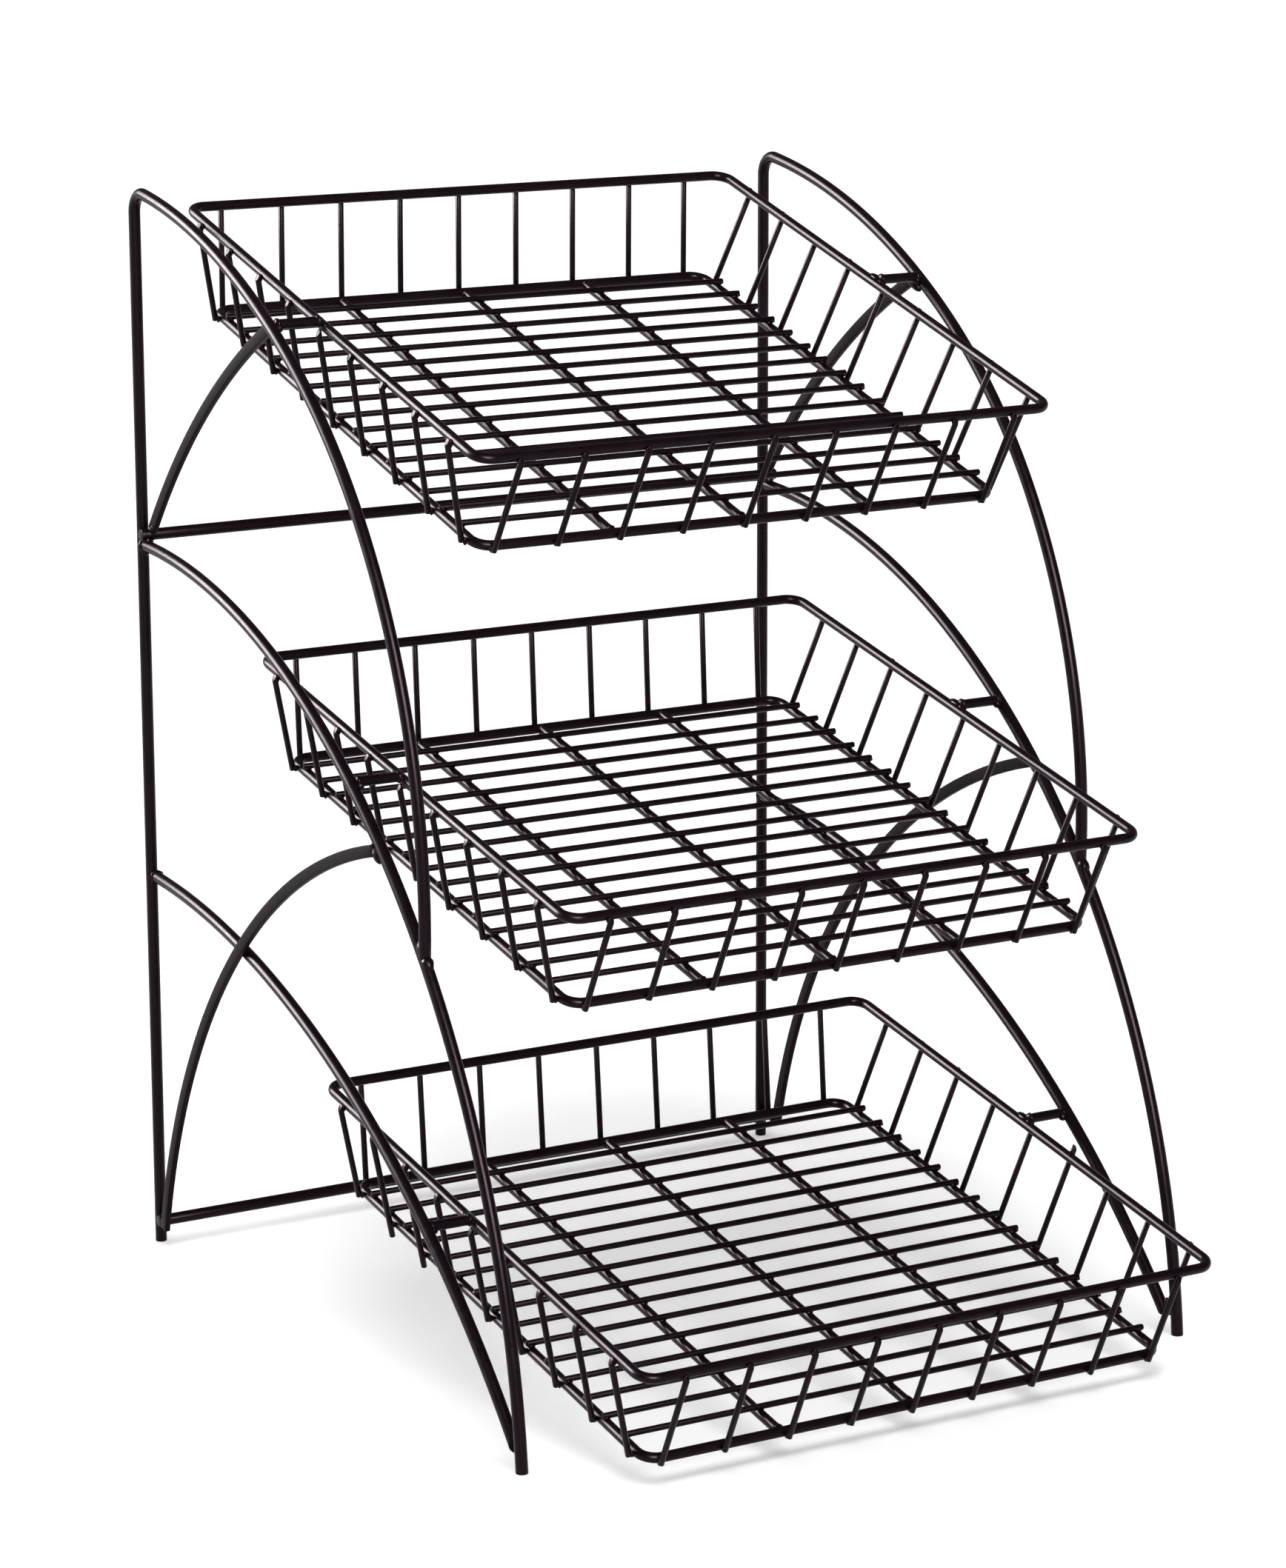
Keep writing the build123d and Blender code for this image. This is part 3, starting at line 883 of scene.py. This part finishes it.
def bead_pattern(scene, name, sharp):
    """One lumpy weld bead of unit size."""
    start_fresh()
    bpy.ops.mesh.primitive_ico_sphere_add(subdivisions=3, radius=1, location=(0, 0, 0))
    bead = bpy.context.object
    bead.name = name
    lumps = bpy.data.textures.new(name + "_lumps", "CLOUDS")
    lumps.noise_scale = sharp
    lumps.noise_depth = 2
    push = bead.modifiers.new("lumps", "DISPLACE")
    push.texture = lumps
    push.texture_coords = "LOCAL"
    push.strength = scene.rack_welds.lumps
    bpy.ops.object.modifier_apply(modifier="lumps")
    open_mesh(bead)
    close_mesh(bead, 80)
    return bead


class RACK_OT_add_beads(bpy.types.Operator):
    """Adds the larger weld beads where rods, braces and hangers meet"""

    bl_idname = "rack.add_beads"
    bl_label = "Weld beads"

    def execute(self, context):
        scene = context.scene
        stock, side, basket, welds = scene.rack_stock, scene.rack_side, scene.rack_basket, scene.rack_welds
        places = SidePlaces(scene)
        chance = random.Random(41)
        patterns = [bead_pattern(scene, "bead_pattern_a", 0.7), bead_pattern(scene, "bead_pattern_b", 0.5)]
        rod, collar = places.rod, welds.collar

        def bead(beads, point, along, long, wide, tall=None):
            """Puts a bead at a point, its long half size along a direction."""
            turn = Vector(along).to_track_quat("Z", "Y").to_matrix().to_4x4()
            spin = Matrix.Rotation(chance.uniform(0, math.tau), 4, "Z") if tall is None else Matrix.Identity(4)
            size = Matrix.Diagonal((wide, tall or wide, long, 1))
            beads.append(copied(chance.choice(patterns), Matrix.Translation(point) @ turn @ size @ spin))

        for word, sign in SIDES:
            beads = []
            x, low_x = sign * places.frame_x, sign * places.low_bow_x

            def at(place, across=x):
                return side_point(scene, across, place)

            def tangent(center, place):
                turn = angle_of(center, place)
                return Vector((0, -math.sin(turn), math.cos(turn)))

            root = (-rod, height_on(places.leg, side.leg_radius, -rod))
            bead(beads, at(root), tangent(places.leg, root), 0.0022, rod + collar * 0.8)
            bead(beads, at((root[0] + 0.0005, root[1] - rod)), (0, 0, 1), 0.0030, 0.0022)
            root = (-rod, height_on(places.low_bow, side.low_radius, -rod))
            bead(beads, at(root, low_x), tangent(places.low_bow, root), 0.0020, rod + collar * 0.7)
            toe = (places.low_toe[0] - rod * 0.6, places.low_toe[1] + 0.004)
            bead(beads, at(toe, low_x), tangent(places.leg, places.low_toe), 0.0046, 0.0018)
            end = on_circle(places.leg, side.leg_radius + rod * 0.8, angle_of(places.leg, places.bow_end) - 0.012)
            bead(beads, at(end), tangent(places.leg, places.bow_end), 0.0052, 0.0032)
            bead(beads, at(on_circle(places.leg, side.leg_radius + rod * 0.5, angle_of(places.leg, places.bow_end) + 0.006)), tangent(places.leg, places.bow_end), 0.0042, 0.0030)
            for cross in (places.upper_cross, places.lower_cross):
                bead(beads, at((-rod, cross[1])), (0, 0, 1), 0.0030, 0.0018, 0.0038)
            bead(beads, at((places.cross_y, side.upper_cross - rod), x), (0, 1, 0), 0.0028, 0.0030)
            under = on_circle(places.rear_bow, side.rear_radius - rod, angle_of(places.rear_bow, places.upper_brace_top))
            bead(beads, at(under, sign * places.upper_brace_x), tangent(places.rear_bow, under), 0.0072, 0.0029)
            over = (places.upper_cross[0] - rod * 0.7, places.upper_cross[1] + rod * 0.8)
            bead(beads, at(over, sign * places.upper_brace_x), (0, -0.5, 0.8), 0.0040, 0.0020)
            under = on_circle(places.leg, side.leg_radius - rod, angle_of(places.leg, places.lower_brace_top))
            bead(beads, at(under, sign * (places.frame_x + 0.0015)), tangent(places.leg, under), 0.0060, 0.0026)
            foot = (places.lower_brace_foot[0] + 0.002, places.lower_brace_foot[1] + 0.003)
            bead(beads, at(foot, sign * (places.lower_brace_x - 0.001)), (0, 0, 1), 0.0045, 0.0022)
            meet = circles_meet(places.lower_brace, places.lower_brace_radius, places.low_bow, side.low_radius)
            bead(beads, at(meet, sign * (places.low_bow_x + rod)), (0, -1, 1), 0.0028, 0.0016)
            frame_beads = joined(f"{word}_frame_weld_beads", beads)
            hand_over(frame_beads, weld_coat(scene))

        for tier in TIERS:
            tier_places = TierPlaces(scene, tier)
            beads = []
            inner = basket.rim_width / 2 + stock.ring / 2
            outer = tier_places.carrier_x - rod
            along_rim = tier_places.matrix.to_3x3() @ Vector((0, 1, 0))
            for _, sign in SIDES:
                bead(beads, side_point(scene, sign * (inner + 0.0006), tier_places.hanger), (1, 0, 0), 0.0018, stock.hanger / 2 + collar * 0.5)
                seam = side_point(scene, sign * (inner - 0.0012), (tier_places.hanger[0], tier_places.hanger[1] - 0.0006))
                bead(beads, seam + along_rim * 0.0030, along_rim, 0.0052, 0.0022)
                bead(beads, seam - along_rim * 0.0028, along_rim, 0.0030, 0.0020)
                bead(beads, side_point(scene, sign * outer, tier_places.hanger), (1, 0, 0), 0.0018, stock.hanger / 2 + collar * 0.5)
                bead(beads, side_point(scene, sign * (outer - 0.0004), (tier_places.hanger[0] - 0.0012, tier_places.hanger[1] - 0.0016)), (0.8, 0.5, 0), 0.0022, 0.0022)
            runner_pitch = basket.base_width / (basket.runners + 1)
            for number in range(basket.runners):
                x = (number - (basket.runners - 1) / 2) * runner_pitch
                for end in (-1, 1):
                    place = tier_places.matrix @ Vector((x, end * (basket.base_depth - stock.ring) / 2, -basket.drop))
                    bead(beads, place, (0, 1, 0), 0.0010, stock.ring / 2 + 0.0005)
            tier_beads = joined(f"{tier}_tier_weld_beads", beads)
            hand_over(tier_beads, weld_coat(scene))
        for pattern in patterns:
            drop_piece(pattern)
        return {"FINISHED"}


# Stage


def seen_directly(nodes, links):
    """One for what is looked at straight, in a gloss or through glass, and zero for the light it gives."""
    rays = nodes.new("ShaderNodeLightPath")
    seen = rays.outputs["Is Camera Ray"]
    for name in ("Is Glossy Ray", "Is Transmission Ray"):
        either = nodes.new("ShaderNodeMath")
        either.operation = "MAXIMUM"
        links.new(seen, either.inputs[0])
        links.new(rays.outputs[name], either.inputs[1])
        seen = either.outputs[0]
    return seen


def floor_material(scene):
    """White floor that keeps the rack's shadow and runs out to plain white. Its glow, seen straight or in a gloss, is
    painted light: low inside an oval under the rack so that the rendered shadow shows there, and higher outside it, a
    painted pool of light that hides the shadow beyond the oval.
    """
    material = bpy.data.materials.new("white_floor")
    material.use_nodes = True
    nodes, links = material.node_tree.nodes, material.node_tree.links
    shader, output = nodes["Principled BSDF"], nodes["Material Output"]
    shader.inputs["Base Color"].default_value = (*scene.rack_finish.floor, 1)
    shader.inputs["Roughness"].default_value = 0.9
    shader.inputs["Specular IOR Level"].default_value = 0.1
    place = nodes.new("ShaderNodeTexCoord")
    # Painted light: an oval under the rack marks where the rendered shadow may show; outside it the floor glows
    # brighter and hides the shadow.
    painted_shadow_oval = nodes.new("ShaderNodeMapping")
    painted_shadow_oval.vector_type = "TEXTURE"
    painted_shadow_oval.inputs["Location"].default_value = (0.048, 0.030, 0)
    painted_shadow_oval.inputs["Rotation"].default_value = (0, 0, math.radians(-19.3))
    painted_shadow_oval.inputs["Scale"].default_value = (0.176, 0.319, 1)
    distance = nodes.new("ShaderNodeVectorMath")
    distance.operation = "LENGTH"
    links.new(place.outputs["Object"], painted_shadow_oval.inputs["Vector"])
    links.new(painted_shadow_oval.outputs["Vector"], distance.inputs[0])
    # Painted pool of light: glow 0.28 inside the oval, rising to 0.50 outside it.
    fade = nodes.new("ShaderNodeMapRange")
    fade.interpolation_type = "SMOOTHSTEP"
    fade.inputs["From Min"].default_value = 0.85
    fade.inputs["From Max"].default_value = 1.4
    fade.inputs["To Min"].default_value = 0.28
    fade.inputs["To Max"].default_value = 0.50
    links.new(distance.outputs["Value"], fade.inputs["Value"])
    reach = nodes.new("ShaderNodeVectorMath")
    reach.operation = "LENGTH"
    links.new(place.outputs["Object"], reach.inputs[0])
    far = nodes.new("ShaderNodeMapRange")
    far.inputs["From Min"].default_value = 0.9
    far.inputs["From Max"].default_value = 2.8
    far.inputs["To Min"].default_value = 0.0
    far.inputs["To Max"].default_value = 0.50
    links.new(reach.outputs["Value"], far.inputs["Value"])
    sum_up = nodes.new("ShaderNodeMath")
    sum_up.operation = "ADD"
    links.new(fade.outputs["Result"], sum_up.inputs[0])
    links.new(far.outputs["Result"], sum_up.inputs[1])
    strength = nodes.new("ShaderNodeMath")
    strength.operation = "MULTIPLY"
    links.new(seen_directly(nodes, links), strength.inputs[0])
    links.new(sum_up.outputs[0], strength.inputs[1])
    glow = nodes.new("ShaderNodeEmission")
    links.new(strength.outputs[0], glow.inputs["Strength"])
    both = nodes.new("ShaderNodeAddShader")
    links.new(shader.outputs[0], both.inputs[0])
    links.new(glow.outputs[0], both.inputs[1])
    links.new(both.outputs[0], output.inputs["Surface"])
    return material


def set_world(scene):
    """A pale room: white at the horizon, dimmer overhead."""
    world = bpy.data.worlds.new("pale_room")
    scene.world = world
    world.use_nodes = True
    nodes, links = world.node_tree.nodes, world.node_tree.links
    background = nodes["Background"]
    place = nodes.new("ShaderNodeTexCoord")
    parts = nodes.new("ShaderNodeSeparateXYZ")
    links.new(place.outputs["Generated"], parts.inputs[0])
    fade = nodes.new("ShaderNodeMapRange")
    fade.interpolation_type = "SMOOTHSTEP"
    fade.inputs["From Min"].default_value = 0.02
    fade.inputs["From Max"].default_value = 0.25
    fade.inputs["To Min"].default_value = 0.4
    fade.inputs["To Max"].default_value = 0.1
    links.new(parts.outputs["Z"], fade.inputs["Value"])
    horizon = nodes.new("ShaderNodeMapRange")
    horizon.interpolation_type = "SMOOTHSTEP"
    horizon.inputs["From Min"].default_value = 0.05
    horizon.inputs["From Max"].default_value = 0.1
    horizon.inputs["To Min"].default_value = 1.0
    horizon.inputs["To Max"].default_value = 0.0
    links.new(parts.outputs["Z"], horizon.inputs["Value"])
    white = nodes.new("ShaderNodeMath")
    white.operation = "MULTIPLY"
    links.new(seen_directly(nodes, links), white.inputs[0])
    links.new(horizon.outputs["Result"], white.inputs[1])
    strongest = nodes.new("ShaderNodeMath")
    strongest.operation = "MAXIMUM"
    links.new(fade.outputs["Result"], strongest.inputs[0])
    links.new(white.outputs[0], strongest.inputs[1])
    links.new(strongest.outputs[0], background.inputs["Strength"])
    background.inputs["Color"].default_value = (1, 1, 1, 1)


def add_lamp(name, place, target, size, power):
    """A square softbox that faces a point, itself out of the picture."""
    ahead = Vector(target) - Vector(place)
    bpy.ops.object.light_add(type="AREA", location=place, rotation=ahead.to_track_quat("-Z", "Y").to_euler())
    lamp = bpy.context.object
    lamp.name = name
    lamp.data.shape = "SQUARE"
    lamp.data.size = size
    lamp.data.energy = power
    lamp.visible_camera = False
    return lamp


class RACK_OT_set_stage(bpy.types.Operator):
    """Sets up the white floor, the room, two softboxes and the camera"""

    bl_idname = "rack.set_stage"
    bl_label = "Stage"

    def execute(self, context):
        scene = context.scene
        studio = scene.rack_studio
        start_fresh()
        bpy.ops.mesh.primitive_circle_add(vertices=96, radius=25, fill_type="NGON", location=(0, 0, 0))
        floor = context.object
        floor.name = "floor"
        open_mesh(floor)
        bpy.ops.mesh.inset(thickness=23)
        bpy.ops.object.mode_set(mode="OBJECT")
        floor.data.materials.append(floor_material(scene))
        set_world(scene)
        overhead = add_lamp("overhead_softbox", (-0.2, -0.5, 2.2), (0, -0.1, 0.2), 2.3, studio.overhead_power)
        overhead.visible_glossy = False
        for lamp in (
            add_lamp("back_softbox", (-2.82, 2.88, 2.0), (0, 0, 0.3), 2.2, studio.back_power),
            add_lamp("front_softbox", (-0.83, -3.08, 1.95), (0, 0, 0.3), 1.75, studio.front_power),
        ):
            lamp.visible_diffuse = False
        scene.view_settings.view_transform = "Standard"
        bpy.ops.object.camera_add()
        camera = context.object
        camera.name = "photo_camera"
        turn = (
            Matrix.Rotation(-studio.yaw, 4, "Z")
            @ Matrix.Rotation(math.pi / 2 - studio.pitch, 4, "X")
            @ Matrix.Rotation(studio.roll, 4, "Z")
        )
        place = (-studio.stand_left, scene.rack_side.upright_y - studio.stand_back, studio.stand_up)
        camera.matrix_world = Matrix.Translation(place) @ turn
        camera.data.sensor_fit = "HORIZONTAL"
        camera.data.sensor_width = 36
        camera.data.lens = studio.lens
        camera.data.clip_end = 100
        scene.camera = camera
        return {"FINISHED"}


class RACK_PT_pieces(bpy.types.Panel):
    """Lists the rack's pieces and its stage in the order they are made"""

    bl_label = "Wire rack"
    bl_idname = "RACK_PT_pieces"
    bl_space_type = "VIEW_3D"
    bl_region_type = "UI"
    bl_category = "Wire rack"

    def draw(self, context):
        for group in ("rack_stock", "rack_side", "rack_basket", "rack_welds", "rack_finish", "rack_studio"):
            box = self.layout.box()
            settings = getattr(context.scene, group)
            for name in settings.bl_rna.properties.keys():
                if name not in ("rna_type", "name"):
                    box.prop(settings, name)
        for operator in PIECES:
            self.layout.operator(operator.bl_idname)


GROUPS = {
    "rack_stock": RackStock,
    "rack_side": RackSideFrame,
    "rack_basket": RackBasket,
    "rack_welds": RackWelds,
    "rack_finish": RackFinish,
    "rack_studio": RackStudio,
}
PIECES = (
    RACK_OT_add_uprights,
    RACK_OT_add_legs,
    RACK_OT_add_low_bows,
    RACK_OT_add_braces,
    RACK_OT_add_cross_rods,
    RACK_OT_add_hangers,
    RACK_OT_add_rings,
    RACK_OT_add_runners,
    RACK_OT_add_floor_wires,
    RACK_OT_add_wall_wires,
    RACK_OT_add_spot_welds,
    RACK_OT_add_beads,
    RACK_OT_set_stage,
)


def register():
    for group in GROUPS.values():
        bpy.utils.register_class(group)
    for operator in PIECES:
        bpy.utils.register_class(operator)
    bpy.utils.register_class(RACK_PT_pieces)
    for name, group in GROUPS.items():
        setattr(bpy.types.Scene, name, PointerProperty(type=group))


def unregister():
    for name in GROUPS:
        delattr(bpy.types.Scene, name)
    bpy.utils.unregister_class(RACK_PT_pieces)
    for operator in reversed(PIECES):
        bpy.utils.unregister_class(operator)
    for group in reversed(GROUPS.values()):
        bpy.utils.unregister_class(group)


def main():
    """Makes the pieces and the stage."""
    register()
    bpy.ops.rack.add_uprights()
    bpy.ops.rack.add_legs()
    bpy.ops.rack.add_low_bows()
    bpy.ops.rack.add_braces()
    bpy.ops.rack.add_cross_rods()
    bpy.ops.rack.add_hangers()
    bpy.ops.rack.add_rings()
    bpy.ops.rack.add_runners()
    bpy.ops.rack.add_floor_wires()
    bpy.ops.rack.add_wall_wires()
    bpy.ops.rack.add_spot_welds()
    bpy.ops.rack.add_beads()
    bpy.ops.rack.set_stage()
    start_fresh()


if __name__ == "__main__":
    main()
